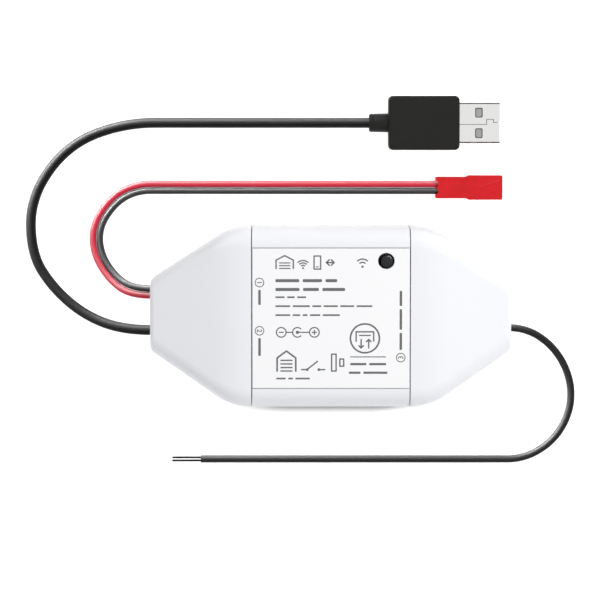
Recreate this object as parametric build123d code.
from build123d import *
import math
import os

# Garage door controller lying on its back. Millimetres: +X runs to the signal cable's end,
# +Y across the label, +Z out of the label, and z = 0 is the flat back of the housing.

# Housing
housing_length = 106.0
housing_width = 52.4
housing_height = 25.0
centre_length = 45.7
seam_gap = 0.3
taper_start = 28.8
end_width = 21.0
end_height = 16.0
shoulder_radius = 5.6
back_edge_radius = 2.4
end_edge_radius = 2.2
wall = 1.8
parting_height = 13.0

# Fits shared by the pieces
fit_gap = 0.1
snug = 0.03
overrun = 1.0

# Stepped lips that the end caps slide over, and the tongue between base and cover
lip_length = 4.0
lip_thickness = 1.2
lip_root = 3.0
tongue_thickness = 0.7
tongue_height = 1.2

# Tongue under each end cap that takes the cap's screw
shelf_reach_share = 0.75
shelf_width = 8.0
shelf_thickness = 2.0
shelf_boss_radius = 2.6
shelf_boss_height = 3.2
shelf_screw_setback = 3.2

# Self-tapping screws
screw_radius = 1.0
screw_core_gap = 0.02
screw_head_radius = 1.9
screw_head_height = 0.8
screw_hole_gap = 0.15
cross_slot_width = 0.5
cross_slot_depth = 0.45
cap_head_recess = 1.0
cap_screw_length = 4.6
board_screw_length = 4.5
clamp_screw_length = 4.4

# Label set in the cover, with the sign that the lamp shines through
label_recess = 0.3
label_thickness = 0.25
label_gap = 0.15
lamp_edge_margin = 4.2
lamp_spacing = 6.9
light_pipe_radius = 1.2
light_pipe_flange_radius = 2.0
light_pipe_flange_height = 0.8

# Push button in the cover
button_edge_margin = 3.9
button_end_margin = 6.85
button_radius = 1.9
button_gap = 0.08
button_sink = 0.3
button_bevel = 0.3
button_flange_radius = 2.6
button_flange_height = 0.9
button_travel = 0.5
guide_wall = 0.37
guide_sink = 0.45
guide_length = 6.0
guide_flange_radius = 3.4
guide_flange_height = 0.8

# Main board and its standoffs
board_length = 42.0
board_side_gap = 4.4
board_thickness = 1.6
board_height_share = 0.65
standoff_radius = 2.5
standoff_shares = [(-0.86, 0.83), (-0.86, -0.83), (0.86, -0.83), (0.86, 0.43)]

# Push switch under the button
switch_size = 6.0
switch_height = 3.5
switch_plate_thickness = 0.3
switch_floor = 0.9
stem_radius = 1.7
stem_gap = 0.08
stem_clearance = 0.2

# Relay
relay_length = 12.5
relay_width = 7.5
relay_height = 10.0
relay_stand = 0.3
relay_edge = 0.4
relay_share = (0.43, -0.775)
relay_pin_shares = [(-0.8, -0.7), (-0.8, 0.7), (0.35, -0.7), (0.35, 0.7), (0.8, -0.7), (0.8, 0.7)]
pin_radius = 0.3
pin_hole_gap = 0.1
pin_below_board = 1.1

# Radio module
radio_length = 17.6
radio_width = 15.8
radio_thickness = 0.8
radio_share = (-0.2, 0.5)
shield_length = 12.0
shield_width = 13.2
shield_height = 2.2
shield_wall = 0.2
shield_setback = 1.2
trace_width = 0.5
trace_thickness = 0.1
trace_reach = 3.2
trace_step = 1.6
trace_turns = 7
trace_setback = 0.4

# Power parts and small parts on the board
capacitor_radius = 3.15
capacitor_height = 7.7
capacitor_rim = 0.4
capacitor_shares = [(-0.52, -0.74), (-0.13, -0.74)]
inductor_size = 5.0
inductor_height = 3.0
inductor_edge = 0.8
inductor_share = (-0.43, -0.25)
regulator_length = 6.5
regulator_width = 3.5
regulator_height = 1.6
regulator_leg_width = 0.7
regulator_leg_reach = 1.4
regulator_leg_height = 0.4
regulator_share = (-0.1, -0.25)
diode_length = 4.3
diode_width = 2.6
diode_height = 2.0
diode_share = (0.3, -0.3)
transistor_length = 2.9
transistor_width = 1.3
transistor_height = 1.0
transistor_share = (0.3, -0.1)
chip_capacitor_length = 2.0
chip_capacitor_width = 1.25
chip_capacitor_height = 0.9
chip_capacitor_shares = [(0.26, 0.12), (0.42, 0.12), (0.58, 0.12), (0.26, 0.3), (0.42, 0.3), (0.58, 0.3)]
chip_resistor_length = 1.6
chip_resistor_width = 0.8
chip_resistor_height = 0.45
chip_resistor_shares = [(0.26, 0.48), (0.42, 0.48), (0.58, 0.48), (0.24, 0.62), (0.38, 0.62), (0.52, 0.62)]
lamp_length = 1.6
lamp_width = 0.8
lamp_height = 0.6

# Headers at the board's edge and the plugs of the three leads
header_length = 8.0
header_width = 7.6
header_height = 6.0
header_wall = 0.8
header_back = 1.6
plug_length = 8.0
plug_seat_gap = 0.4
plug_bore = 1.2
plug_bore_depth = 5.0
contact_pitch = 2.5
contact_size = 0.64
contact_reach = 4.0
contact_gap = 0.1

# Where the leads leave the two end faces
exit_height = 5.0
power_y = -5.0
red_y = 5.3
black_y = 7.35
signal_y = -4.3
grommet_wall = 0.6
grommet_flange = 0.4
grommet_flange_thickness = 1.0

# Cable clamps on the floor of each end cap
clamp_setback = 8.0
clamp_depth = 4.5
clamp_thickness = 2.0
clamp_screw_y = 10.5
clamp_margin = 2.0
clamp_bar_gap = 0.05

# Leads inside the housing
jacket_inside = 13.0
lead_diameter = 1.2
lead_spread = 1.4
lead_run_shares = (0.16, 0.31)
signal_lead_diameter = 0.6
signal_lead_spread = 0.93

# Free cords: diameters, and routes chosen by hand (x, y, z of the centre line)
power_cord_diameter = 3.0
sensor_wire_diameter = 2.0
signal_cable_diameter = 2.2
power_cord_route = [
    (-53.0, -5.0, 5.0), (-61.2, -5.0, 5.0), (-72.9, -0.9, 2.6), (-82.6, 7.3, 1.5), (-89.0, 17.7, 1.5),
    (-89.0, 34.6, 1.5), (-77.8, 50.0, 1.5), (-61.0, 56.4, 1.5), (-8.0, 56.4, 4.0), (13.4, 56.4, 4.0)]
red_wire_route = [
    (-53.0, 5.3, 5.0), (-59.5, 5.3, 5.0), (-66.1, 10.2, 2.4), (-70.6, 17.8, 1.0), (-70.6, 26.5, 1.0),
    (-64.7, 34.8, 1.0), (-57.4, 38.3, 1.0), (11.0, 38.3, 2.5), (32.6, 38.3, 2.5)]
black_wire_route = [
    (-53.0, 7.35, 5.0), (-58.8, 7.35, 5.0), (-64.7, 11.7, 2.4), (-68.55, 18.35, 1.0), (-68.55, 25.85, 1.0),
    (-63.3, 33.2, 1.0), (-56.9, 36.25, 1.0), (11.0, 36.25, 2.5), (32.6, 36.25, 2.5)]
signal_cable_route = [
    (53.0, -4.3, 5.0), (58.3, -4.3, 5.0), (66.9, -10.3, 2.7), (71.9, -19.5, 1.1), (72.1, -29.2, 1.1),
    (67.2, -38.4, 1.1), (58.2, -44.0, 1.1), (-38.6, -44.0, 1.1)]
bend_share = 0.45

# Plug on the power cord
plug_axis_height = 4.0
relief_length = 5.2
relief_radius = 2.75
relief_tip_radius = 2.45
relief_bore_gap = 0.1
relief_bore_depth = 1.5
overmold_length = 21.0
overmold_width = 16.0
overmold_corner = 1.3
overmold_edge = 0.7
usb_shell_reach = 11.9
usb_shell_width = 12.0
usb_shell_height = 4.5
usb_shell_wall = 0.3
usb_shell_corner = 0.5
usb_shell_root = 2.0
usb_window_length = 2.2
usb_window_width = 2.9
usb_window_setback = 5.9
usb_window_spacing = 6.2
usb_insert_height = 1.85
usb_insert_setback = 0.6
usb_contact_width = 1.0
usb_contact_length = 7.5
usb_contact_height = 0.12
usb_contact_setback = 1.2
usb_contact_pitch = 2.3
usb_contact_shares = [-1.5, -0.5, 0.5, 1.5]

# Plug on the sensor wires
connector_axis_height = 2.5
connector_rear_length = 9.8
connector_rear_width = 6.1
connector_rear_height = 4.4
connector_front_length = 10.0
connector_front_width = 7.2
connector_front_height = 5.0
connector_step = 1.6
connector_wall = 0.9
connector_mouth_depth = 8.0
connector_entry_depth = 1.4
connector_entry_gap = 0.1
connector_contact_size = 0.8
connector_contact_reach = 5.0

# Bare ends of the signal cable
conductor_diameter = 0.58
conductor_length = 8.6
conductor_spacing = 0.93

half_length = housing_length / 2
half_width = housing_width / 2
centre_half = centre_length / 2
label_half = half_width - shoulder_radius
label_width = 2 * label_half
cap_start = centre_half + seam_gap
button_x = centre_half - button_end_margin
button_y = label_half - button_edge_margin
lamp_x = button_x - lamp_spacing
lamp_y = label_half - lamp_edge_margin
board_width = housing_width - 2 * (wall + board_side_gap)
spare_height = housing_height - 2 * wall - board_thickness - relay_stand - relay_height
board_bottom = wall + board_height_share * spare_height
board_top = board_bottom + board_thickness
label_floor = housing_height - label_recess
cover_underside = housing_height - wall
lip_inset = wall + fit_gap
guide_inner_radius = button_radius + button_gap
guide_outer_radius = guide_inner_radius + guide_wall
guide_top = housing_height - guide_sink
guide_bottom = guide_top - guide_length
button_flange_top = guide_bottom - fit_gap
sensor_y = (red_y + black_y) / 2
bottom_to_top = (Align.CENTER, Align.CENTER, Align.MIN)
top_to_bottom = (Align.CENTER, Align.CENTER, Align.MAX)


def on_board(share):
    return share[0] * board_length / 2, share[1] * board_width / 2


def rod(x, y, low, high, radius):
    return Pos(x, y, low) * Cylinder(radius, high - low, align=bottom_to_top)


def block(x, y, low, high, length, width):
    return Pos(x, y, low) * Box(length, width, high - low, align=bottom_to_top)


# A bar along X from start to end, centred on y and z
def bar_x(start, end, y, z, width, height):
    return Pos((start + end) / 2, y, z) * Box(abs(end - start), width, height)


def rod_x(start, end, y, z, radius):
    turned = Rotation(0, 90, 0) * Cylinder(radius, abs(end - start))
    return Pos((start + end) / 2, y, z) * turned


def span(start, end, low=-overrun, high=housing_height + overrun):
    width = housing_width + 2 * overrun
    return Pos((start + end) / 2, 0, low) * Box(abs(end - start), width, high - low, align=bottom_to_top)


def tube(route, radii, diameter):
    path = FilletPolyline(*route, radius=radii)
    section = Plane(origin=path @ 0, z_dir=path % 0) * Circle(diameter / 2)
    return sweep(section, path=path), path.length


# Outline that runs straight past the centre section and then tapers to the end face
def tapered(points, rise):
    face = make_face(Polyline(*points, close=True))
    turn = math.atan2(rise, half_length - taper_start)
    radius = (taper_start - cap_start) / math.tan(turn / 2)
    middle = (taper_start + half_length) / 2
    bends = [corner for corner in face.vertices() if abs(corner.X) < middle]
    return fillet(bends, radius)


def plan_outline():
    wide, narrow = half_width, end_width / 2
    right = [(half_length, -narrow), (half_length, narrow), (taper_start, wide)]
    left = [(-taper_start, wide), (-half_length, narrow), (-half_length, -narrow)]
    points = right + left + [(-taper_start, -wide), (taper_start, -wide)]
    return tapered(points, wide - narrow)


def side_outline():
    right = [(half_length, 0), (half_length, end_height), (taper_start, housing_height)]
    left = [(-taper_start, housing_height), (-half_length, end_height), (-half_length, 0)]
    return tapered(right + left, housing_height - end_height)


# The housing's whole outer form, or the same form drawn in by an inset
def housing_form(inset):
    plan, side = plan_outline(), side_outline()
    if inset:
        plan = offset(plan, amount=-inset, kind=Kind.INTERSECTION)
        side = offset(side, amount=-inset, kind=Kind.INTERSECTION)
    form = extrude(plan, amount=housing_height) & extrude(Plane.XZ * side, amount=half_width, both=True)
    along = [edge for edge in form.edges() if edge.bounding_box().size.X > fit_gap]
    upper = [edge for edge in along if edge.bounding_box().min.Z > inset + fit_gap]
    form = fillet(upper, shoulder_radius - inset)
    if inset < back_edge_radius:
        along = [edge for edge in form.edges() if edge.bounding_box().size.X > fit_gap]
        lower = [edge for edge in along if edge.bounding_box().max.Z < inset + fit_gap / 2]
        form = fillet(lower, back_edge_radius - inset)
    if inset < end_edge_radius:
        reach = half_length - inset - fit_gap / 2
        ends = [edge for edge in form.edges() if edge.bounding_box().min.X > reach]
        ends += [edge for edge in form.edges() if edge.bounding_box().max.X < -reach]
        form = fillet(ends, end_edge_radius - inset)
    return form


outer_form = housing_form(0)
inner_form = housing_form(wall)
skin = outer_form - inner_form
lip_outside = housing_form(lip_inset)
lip_inside = housing_form(lip_inset + lip_thickness)
lip_ring = lip_outside - lip_inside
root_ring = housing_form(wall / 2) - lip_inside


# Centre section between two heights, with the lips that reach under both end caps
def centre_shell(low, high):
    shell = skin & span(-centre_half, centre_half, low, high)
    for side in (-1, 1):
        root, seam, tip = centre_half - lip_root, centre_half, centre_half + lip_length
        shell += root_ring & span(side * root, side * seam, low, high)
        shell += lip_ring & span(side * root, side * tip, low, high)
    return shell


# Long tongue on the base's side walls; the cover's groove is the same form plus the fit
def tongues(gap):
    length = centre_length - 2 * lip_root - fit_gap + gap
    tongue = Box(length, tongue_thickness + 2 * gap, tongue_height + gap, align=bottom_to_top)
    y = half_width - wall / 2
    return Pos(0, y, parting_height) * tongue + Pos(0, -y, parting_height) * tongue


def screw(length):
    body = Cylinder(screw_head_radius, screw_head_height, align=bottom_to_top)
    shank = Cylinder(screw_radius - screw_core_gap, length, align=top_to_bottom)
    slot_low = screw_head_height - cross_slot_depth
    for turn in (0, 90):
        slot = Box(screw_head_radius, cross_slot_width, cross_slot_depth + overrun, align=bottom_to_top)
        body -= Pos(0, 0, slot_low) * Rotation(0, 0, turn) * slot
    return body + shank


def group(shapes):
    return Compound(children=[solid for shape in shapes for solid in shape.solids()])


def shelf_end():
    room = clamp_x() - clamp_depth / 2 - centre_half
    return centre_half + shelf_reach_share * room


def shelf_screw_x():
    return shelf_end() - shelf_screw_setback


def base_shell():
    shell = centre_shell(-overrun, parting_height) + tongues(0)
    low, high = lip_inset, lip_inset + shelf_thickness
    for side in (-1, 1):
        start, end = side * (centre_half - lip_root), side * shelf_end()
        shell += bar_x(start, end, 0, (low + high) / 2, shelf_width, high - low)
        x = side * shelf_screw_x()
        shell += rod(x, 0, low, high + shelf_boss_height, shelf_boss_radius)
        shell -= rod(x, 0, low - overrun, high + shelf_boss_height + overrun, screw_radius)
    for share in standoff_shares:
        x, y = on_board(share)
        shell += rod(x, y, wall / 2, board_bottom, standoff_radius)
        shell -= rod(x, y, wall, board_bottom + overrun, screw_radius)
    return shell


def cover_hole(x, y, radius):
    return rod(x, y, cover_underside - overrun, housing_height + overrun, radius)


def top_cover():
    shell = centre_shell(parting_height, housing_height + overrun) - tongues(fit_gap)
    recess = block(0, 0, label_floor, housing_height + overrun, centre_length + overrun, label_width)
    shell -= recess
    shell -= cover_hole(button_x, button_y, guide_outer_radius + snug)
    shell -= cover_hole(lamp_x, lamp_y, light_pipe_radius + fit_gap)
    return shell


def face_label():
    length, width = centre_length - 2 * label_gap, label_width - 2 * label_gap
    sheet = block(0, 0, label_floor, label_floor + label_thickness, length, width)
    return sheet - cover_hole(button_x, button_y, guide_outer_radius + fit_gap)


# A round form at one cable's exit, or a slot round the pair of sensor wires
def exit_form(places, radius, start, end):
    form = rod_x(start, end, places[0], exit_height, radius)
    if len(places) > 1:
        middle, spread = (places[0] + places[-1]) / 2, abs(places[-1] - places[0])
        form += rod_x(start, end, places[-1], exit_height, radius)
        form += bar_x(start, end, middle, exit_height, spread, 2 * radius)
    return form


def clamp_x():
    return half_length - clamp_setback


def clamp_grooves(side, wires, gap):
    start, end = side * (clamp_x() - clamp_depth), side * (clamp_x() + clamp_depth)
    return [rod_x(start, end, y, exit_height, diameter / 2 + gap) for y, diameter in wires]


def end_cap(side, exits, wires):
    cap = skin & span(side * cap_start, side * (half_length + overrun))
    x, width = side * clamp_x(), 2 * (clamp_screw_y + clamp_margin)
    cap += block(x, 0, wall / 2, exit_height, clamp_depth, width)
    for groove in clamp_grooves(side, wires, snug):
        cap -= groove
    for y in (-clamp_screw_y, clamp_screw_y):
        cap -= rod(x, y, wall, exit_height + overrun, screw_radius)
    for places, diameter in exits:
        radius = diameter / 2 + grommet_wall + snug
        cap -= exit_form(places, radius, side * (half_length - 2 * wall), side * (half_length + overrun))
    screw_x = side * shelf_screw_x()
    cap -= rod(screw_x, 0, -overrun, wall + overrun, screw_radius + screw_hole_gap)
    cap -= rod(screw_x, 0, -overrun, cap_head_recess, screw_head_radius + screw_hole_gap)
    return cap


def cable_clamp(side, wires):
    width = 2 * (clamp_screw_y + clamp_margin)
    low = exit_height + clamp_bar_gap
    bar = block(side * clamp_x(), 0, low, low + clamp_thickness, clamp_depth, width)
    for groove in clamp_grooves(side, wires, snug):
        bar -= groove
    for y in (-clamp_screw_y, clamp_screw_y):
        bar -= rod(side * clamp_x(), y, exit_height, low + clamp_thickness + overrun, screw_radius + screw_hole_gap)
    return bar & lip_outside


def grommet(side, places, diameter):
    inner_face = half_length - wall
    radius = diameter / 2 + grommet_wall
    body = exit_form(places, radius, side * (inner_face - overrun), side * half_length)
    flange_start = inner_face - grommet_flange_thickness
    body &= span(side * flange_start, side * half_length)
    body += exit_form(places, radius + grommet_flange, side * flange_start, side * inner_face)
    for y in places:
        body -= rod_x(side * (flange_start - overrun), side * (half_length + overrun), y, exit_height,
                      diameter / 2 + snug)
    return body & outer_form


def clamp_screws():
    low = exit_height + clamp_bar_gap + clamp_thickness
    places = [(side * clamp_x(), y) for side in (-1, 1) for y in (-clamp_screw_y, clamp_screw_y)]
    return group([Pos(x, y, low) * screw(clamp_screw_length) for x, y in places])


def cap_screws():
    turned = Rotation(180, 0, 0) * screw(cap_screw_length)
    return group([Pos(side * shelf_screw_x(), 0, cap_head_recess) * turned for side in (-1, 1)])


def board_screws():
    places = [on_board(share) for share in standoff_shares]
    return group([Pos(x, y, board_top) * screw(board_screw_length) for x, y in places])


def button_guide():
    guide = rod(button_x, button_y, guide_bottom, guide_top, guide_outer_radius)
    flange_low = cover_underside - guide_flange_height
    guide += rod(button_x, button_y, flange_low, cover_underside, guide_flange_radius)
    return guide - rod(button_x, button_y, guide_bottom - overrun, housing_height, guide_inner_radius)


def button_cap():
    top = housing_height - button_sink
    low = button_flange_top - button_flange_height
    stem = rod(button_x, button_y, low, top, button_radius)
    stem = chamfer(stem.edges().sort_by(Axis.Z)[-1], button_bevel)
    return stem + rod(button_x, button_y, low, button_flange_top, button_flange_radius)


def switch_stem():
    top = button_flange_top - button_flange_height
    low = board_top + switch_floor + button_travel + stem_clearance
    return rod(button_x, button_y, low, top, stem_radius)


def switch_body():
    body = block(button_x, button_y, board_top, board_top + switch_height, switch_size, switch_size)
    top = board_top + switch_height + overrun
    return body - rod(button_x, button_y, board_top + switch_floor, top, stem_radius + stem_gap)


def switch_plate():
    low = board_top + switch_height
    plate = block(button_x, button_y, low, low + switch_plate_thickness, switch_size, switch_size)
    return plate - rod(button_x, button_y, low - overrun, low + overrun, stem_radius + stem_gap)


def light_pipe():
    flange_low = cover_underside - light_pipe_flange_height
    pipe = rod(lamp_x, lamp_y, board_top + 2 * lamp_height, label_floor, light_pipe_radius)
    return pipe + rod(lamp_x, lamp_y, flange_low, cover_underside, light_pipe_flange_radius)


def status_lamp():
    return block(lamp_x, lamp_y, board_top, board_top + lamp_height, lamp_length, lamp_width)


def relay_pin_places():
    x, y = on_board(relay_share)
    return [(x + a * relay_length / 2, y + b * relay_width / 2) for a, b in relay_pin_shares]


def header_pin_x():
    return board_length / 2 - header_length + header_back / 2


def header_pin_places():
    return [(side * header_pin_x(), y + row * contact_pitch / 2)
            for side, y in ((-1, power_y), (-1, sensor_y), (1, signal_y)) for row in (-1, 1)]


def main_board():
    board = block(0, 0, board_bottom, board_top, board_length, board_width)
    for share in standoff_shares:
        x, y = on_board(share)
        board -= rod(x, y, board_bottom - overrun, board_top + overrun, screw_radius + screw_hole_gap)
    for x, y in relay_pin_places():
        board -= rod(x, y, board_bottom - overrun, board_top + overrun, pin_radius + pin_hole_gap)
    for x, y in header_pin_places():
        hole = contact_size + 2 * contact_gap
        board -= block(x, y, board_bottom - overrun, board_top + overrun, hole, hole)
    return board


def on_top(share, length, width, height):
    x, y = on_board(share)
    return block(x, y, board_top, board_top + height, length, width)


def relay_body():
    x, y = on_board(relay_share)
    low = board_top + relay_stand
    body = block(x, y, low, low + relay_height, relay_length, relay_width)
    return chamfer(body.edges().group_by(Axis.Z)[-1], relay_edge)


def relay_pins():
    low, high = board_bottom - pin_below_board, board_top + relay_stand
    return group([rod(x, y, low, high, pin_radius) for x, y in relay_pin_places()])


def radio_board():
    return on_top(radio_share, radio_width, radio_length, radio_thickness)


def shield_place():
    x, y = on_board(radio_share)
    return x, y - radio_length / 2 + shield_setback + shield_length / 2


def radio_shield():
    x, y = shield_place()
    low, high = board_top + radio_thickness, board_top + radio_thickness + shield_height
    can = block(x, y, low, high, shield_width, shield_length)
    hollow_width, hollow_length = shield_width - 2 * shield_wall, shield_length - 2 * shield_wall
    return can - block(x, y, low - overrun, high - shield_wall, hollow_width, hollow_length)


# Meandering trace on the strip of the radio board beyond the shield
def antenna_trace():
    x, y = on_board(radio_share)
    low = board_top + radio_thickness
    far = y + radio_length / 2 - trace_setback
    start = x - trace_step * (trace_turns - 1) / 2
    trace = None
    for turn in range(trace_turns):
        leg_x = start + turn * trace_step
        leg = block(leg_x, far - trace_reach / 2, low, low + trace_thickness, trace_width, trace_reach)
        trace = leg if trace is None else trace + leg
        if turn < trace_turns - 1:
            edge = far - trace_width / 2 if turn % 2 else far - trace_reach + trace_width / 2
            trace += block(leg_x + trace_step / 2, edge, low, low + trace_thickness, trace_step, trace_width)
    return trace


def electrolytic_capacitors():
    cans = []
    for share in capacitor_shares:
        x, y = on_board(share)
        can = rod(x, y, board_top, board_top + capacitor_height, capacitor_radius)
        cans.append(chamfer(can.edges().sort_by(Axis.Z)[-1], capacitor_rim))
    return group(cans)


def power_inductor():
    body = on_top(inductor_share, inductor_size, inductor_size, inductor_height)
    return chamfer(body.edges().filter_by(Axis.Z), inductor_edge)


def regulator_chip():
    x, y = on_board(regulator_share)
    body = on_top(regulator_share, regulator_length, regulator_width, regulator_height)
    for place in (-1, 0, 1):
        leg_y = y - regulator_width / 2 - regulator_leg_reach / 2
        leg = block(x + place * regulator_length / 3, leg_y, board_top, board_top + regulator_leg_height,
                    regulator_leg_width, regulator_leg_reach)
        body += leg
    return body


def diode():
    return on_top(diode_share, diode_length, diode_width, diode_height)


def driver_transistor():
    return on_top(transistor_share, transistor_length, transistor_width, transistor_height)


def chip_capacitors():
    return group([on_top(share, chip_capacitor_length, chip_capacitor_width, chip_capacitor_height)
                  for share in chip_capacitor_shares])


def chip_resistors():
    return group([on_top(share, chip_resistor_length, chip_resistor_width, chip_resistor_height)
                  for share in chip_resistor_shares])


def plug_height():
    return board_top + header_height / 2


def header(side, y):
    edge = board_length / 2
    start, end = side * (edge - header_length), side * edge
    body = bar_x(start, end, y, plug_height(), header_width, header_height)
    width, height = header_width - 2 * header_wall, header_height - 2 * header_wall
    hollow_start = side * (edge - header_length + header_back)
    body -= bar_x(hollow_start, side * (edge + overrun), y, plug_height(), width, height)
    for row in (-1, 1):
        pin_y = y + row * contact_pitch / 2
        hole = contact_size + 2 * contact_gap
        low = board_top - overrun
        body -= block(side * header_pin_x(), pin_y, low, plug_height() + hole / 2, hole, hole)
        body -= bar_x(side * header_pin_x(), hollow_start, pin_y, plug_height(), hole, hole)
    return body


def header_pins():
    pins = []
    for side, y in ((-1, power_y), (-1, sensor_y), (1, signal_y)):
        for row in (-1, 1):
            pin_y = y + row * contact_pitch / 2
            x, low = side * header_pin_x(), board_bottom - pin_below_board
            upright = block(x, pin_y, low, plug_height() + contact_size / 2, contact_size, contact_size)
            end = side * (board_length / 2 - header_length + header_back + contact_reach)
            pins.append(upright + bar_x(x, end, pin_y, plug_height(), contact_size, contact_size))
    return group(pins)


def plug_start():
    return board_length / 2 - header_length + header_back + plug_seat_gap


def lead_plug(side, y):
    width = header_width - 2 * header_wall - 2 * fit_gap
    height = header_height - 2 * header_wall - 2 * fit_gap
    start, end = side * plug_start(), side * (plug_start() + plug_length)
    body = bar_x(start, end, y, plug_height(), width, height)
    for row in (-1, 1):
        bore_end = side * (plug_start() + plug_bore_depth)
        bore_start = side * (plug_start() - overrun)
        body -= bar_x(bore_start, bore_end, y + row * contact_pitch / 2, plug_height(), plug_bore, plug_bore)
    return body


def jacket(side, y, diameter):
    end = half_length - jacket_inside
    return rod_x(side * end, side * half_length, y, exit_height, diameter / 2)


# One insulated wire from the cable's end up to the back of its plug
def lead(side, start, start_y, plug_y, row, diameter):
    end, end_y = plug_start() + plug_length, plug_y + row * contact_pitch / 2
    first, last = [share * (jacket_end() - end) for share in lead_run_shares]
    points = [(start, start_y, exit_height), (jacket_end() - first, start_y, exit_height),
              (end + last, end_y, plug_height()), (end, end_y, plug_height())]
    route = [(side * x, y, z) for x, y, z in points]
    return tube(route, route_radii(route), diameter)[0]


def jacket_end():
    return half_length - jacket_inside


# Largest arcs that the runs of a route allow
def route_radii(route):
    points = [Vector(*point) for point in route]
    radii = []
    for before, corner, after in zip(points, points[1:], points[2:]):
        first, second = corner - before, after - corner
        turn = math.radians(first.get_angle(second))
        radii.append(bend_share * min(first.length, second.length) / math.tan(turn / 2))
    return radii


def free_cord(name, route, diameter):
    radii = route_radii(route)
    solid, length = tube(route, radii, diameter)
    section = math.pi * diameter ** 2 / 4
    print(name, "radii", [round(radius, 1) for radius in radii], "length", round(length, 1),
          "volume share", round(solid.volume / (section * length), 4))
    return solid


def plug_y():
    return power_cord_route[-1][1]


def relief_start():
    return power_cord_route[-1][0] - relief_bore_depth


def strain_relief():
    start, end = relief_start(), overmold_start()
    cone = Rotation(0, 90, 0) * Cone(relief_tip_radius, relief_radius, relief_length)
    body = Pos((start + end) / 2, plug_y(), plug_axis_height) * cone
    bore_radius = power_cord_diameter / 2 + relief_bore_gap
    return body - rod_x(start - overrun, start + relief_bore_depth, plug_y(), plug_axis_height, bore_radius)


def overmold_start():
    return relief_start() + relief_length


def shell_start():
    return overmold_start() + overmold_length


def shell_end():
    return shell_start() + usb_shell_reach


def usb_overmold():
    start, end = overmold_start(), shell_start()
    height = 2 * plug_axis_height
    body = bar_x(start, end, plug_y(), plug_axis_height, overmold_width, height)
    body = fillet(body.edges().filter_by(Axis.Z), overmold_corner)
    body = fillet(body.edges().group_by(Axis.Z)[0] + body.edges().group_by(Axis.Z)[-1], overmold_edge)
    pocket_width, pocket_height = usb_shell_width + 2 * snug, usb_shell_height + 2 * snug
    return body - bar_x(end - usb_shell_root, end + overrun, plug_y(), plug_axis_height, pocket_width, pocket_height)


def usb_shell():
    start, end = shell_start() - usb_shell_root, shell_end()
    body = bar_x(start, end, plug_y(), plug_axis_height, usb_shell_width, usb_shell_height)
    body = fillet(body.edges().filter_by(Axis.X), usb_shell_corner)
    width, height = usb_shell_width - 2 * usb_shell_wall, usb_shell_height - 2 * usb_shell_wall
    body -= bar_x(start - overrun, end + overrun, plug_y(), plug_axis_height, width, height)
    for side in (-1, 1):
        window = Box(usb_window_length, usb_window_width, usb_shell_height + overrun)
        body -= Pos(end - usb_window_setback, plug_y() + side * usb_window_spacing / 2, plug_axis_height) * window
    return body


def usb_insert_top():
    return plug_axis_height + usb_shell_height / 2 - usb_shell_wall - snug


def usb_insert():
    start, end = shell_start() - usb_shell_root, shell_end() - usb_insert_setback
    width = usb_shell_width - 2 * usb_shell_wall - 2 * snug
    middle = usb_insert_top() - usb_insert_height / 2
    return bar_x(start, end, plug_y(), middle, width, usb_insert_height)


def usb_contacts():
    high = usb_insert_top() - usb_insert_height
    end = shell_end() - usb_insert_setback - usb_contact_setback
    pads = []
    for share in usb_contact_shares:
        y = plug_y() + share * usb_contact_pitch
        pads.append(bar_x(end - usb_contact_length, end, y, high - usb_contact_height / 2,
                          usb_contact_width, usb_contact_height))
    return group(pads)


def connector_y():
    return (red_wire_route[-1][1] + black_wire_route[-1][1]) / 2


def connector_start():
    return red_wire_route[-1][0] - connector_entry_depth


def connector_step_x():
    return connector_start() + connector_rear_length


def connector_end():
    return connector_step_x() + connector_front_length


def sensor_connector():
    y, z = connector_y(), connector_axis_height
    rear = bar_x(connector_start(), connector_step_x(), y, z, connector_rear_width, connector_rear_height)
    front = bar_x(connector_step_x(), connector_end(), y, z, connector_front_width, connector_front_height)
    corners = Plane.YZ.offset(connector_step_x())
    ramp_start = corners * Pos(y, z) * Rectangle(connector_front_width, connector_front_height)
    back = Plane.YZ.offset(connector_step_x() - connector_step)
    ramp_end = back * Pos(y, z) * Rectangle(connector_rear_width, connector_rear_height)
    body = rear + front + loft([ramp_end, ramp_start])
    width, height = connector_front_width - 2 * connector_wall, connector_front_height - 2 * connector_wall
    body -= bar_x(connector_end() - connector_mouth_depth, connector_end() + overrun, y, z, width, height)
    for route in (red_wire_route, black_wire_route):
        radius = sensor_wire_diameter / 2 + connector_entry_gap
        body -= rod_x(connector_start() - overrun, route[-1][0], route[-1][1], z, radius)
    return body


def sensor_contacts():
    start = connector_end() - connector_mouth_depth
    pins = [bar_x(start, start + connector_contact_reach, route[-1][1], connector_axis_height,
                  connector_contact_size, connector_contact_size)
            for route in (red_wire_route, black_wire_route)]
    return group(pins)


def signal_conductors():
    end_x, end_y, end_z = signal_cable_route[-1]
    return group([rod_x(end_x - conductor_length, end_x, end_y + side * conductor_spacing / 2, end_z,
                        conductor_diameter / 2) for side in (-1, 1)])


left_wires = [(power_y, power_cord_diameter), (red_y, sensor_wire_diameter), (black_y, sensor_wire_diameter)]
right_wires = [(signal_y, signal_cable_diameter)]
left_exits = [([power_y], power_cord_diameter), ([red_y, black_y], sensor_wire_diameter)]
right_exits = [([signal_y], signal_cable_diameter)]

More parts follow.
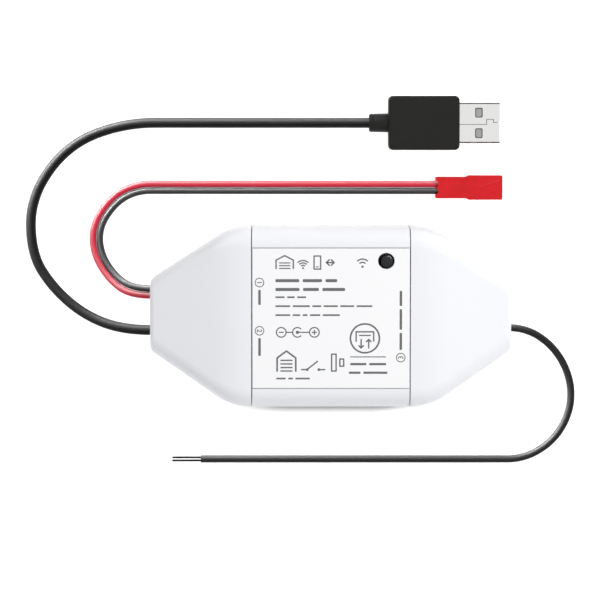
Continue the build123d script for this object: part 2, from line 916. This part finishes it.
nodes = {
    "base_shell": base_shell(),
    "top_cover": top_cover(),
    "left_end_cap": end_cap(-1, left_exits, left_wires),
    "right_end_cap": end_cap(1, right_exits, right_wires),
    "face_label": face_label(),
    "button_guide": button_guide(),
    "button_cap": button_cap(),
    "switch_stem": switch_stem(),
    "switch_body": switch_body(),
    "switch_plate": switch_plate(),
    "light_pipe": light_pipe(),
    "status_lamp": status_lamp(),
    "main_board": main_board(),
    "relay_body": relay_body(),
    "relay_pins": relay_pins(),
    "radio_board": radio_board(),
    "radio_shield": radio_shield(),
    "antenna_trace": antenna_trace(),
    "electrolytic_capacitors": electrolytic_capacitors(),
    "power_inductor": power_inductor(),
    "regulator_chip": regulator_chip(),
    "diode": diode(),
    "driver_transistor": driver_transistor(),
    "chip_capacitors": chip_capacitors(),
    "chip_resistors": chip_resistors(),
    "power_header": header(-1, power_y),
    "sensor_header": header(-1, sensor_y),
    "signal_header": header(1, signal_y),
    "header_pins": header_pins(),
    "power_plug": lead_plug(-1, power_y),
    "sensor_plug": lead_plug(-1, sensor_y),
    "signal_plug": lead_plug(1, signal_y),
    "left_cable_clamp": cable_clamp(-1, left_wires),
    "right_cable_clamp": cable_clamp(1, right_wires),
    "clamp_screws": clamp_screws(),
    "cap_screws": cap_screws(),
    "board_screws": board_screws(),
    "power_grommet": grommet(-1, [power_y], power_cord_diameter),
    "sensor_grommet": grommet(-1, [red_y, black_y], sensor_wire_diameter),
    "signal_grommet": grommet(1, [signal_y], signal_cable_diameter),
    "power_jacket_inside": jacket(-1, power_y, power_cord_diameter),
    "power_lead_red": lead(-1, jacket_end(), power_y + lead_spread / 2, power_y, 1, lead_diameter),
    "power_lead_black": lead(-1, jacket_end(), power_y - lead_spread / 2, power_y, -1, lead_diameter),
    "sensor_lead_red": lead(-1, half_length, red_y, sensor_y, -1, sensor_wire_diameter),
    "sensor_lead_black": lead(-1, half_length, black_y, sensor_y, 1, sensor_wire_diameter),
    "signal_jacket_inside": jacket(1, signal_y, signal_cable_diameter),
    "signal_leads": group([lead(1, jacket_end(), signal_y + row * signal_lead_spread / 2, signal_y, row,
                                signal_lead_diameter) for row in (-1, 1)]),
    "power_cord": free_cord("power_cord", power_cord_route, power_cord_diameter),
    "sensor_wire_red": free_cord("sensor_wire_red", red_wire_route, sensor_wire_diameter),
    "sensor_wire_black": free_cord("sensor_wire_black", black_wire_route, sensor_wire_diameter),
    "signal_cable": free_cord("signal_cable", signal_cable_route, signal_cable_diameter),
    "usb_strain_relief": strain_relief(),
    "usb_overmold": usb_overmold(),
    "usb_shell": usb_shell(),
    "usb_insert": usb_insert(),
    "usb_contacts": usb_contacts(),
    "sensor_connector": sensor_connector(),
    "sensor_contacts": sensor_contacts(),
    "signal_conductors": signal_conductors(),
}

os.makedirs("parts", exist_ok=True)
for name, shape in nodes.items():
    export_step(shape, f"parts/{name}.step")
print(len(nodes), "nodes written")
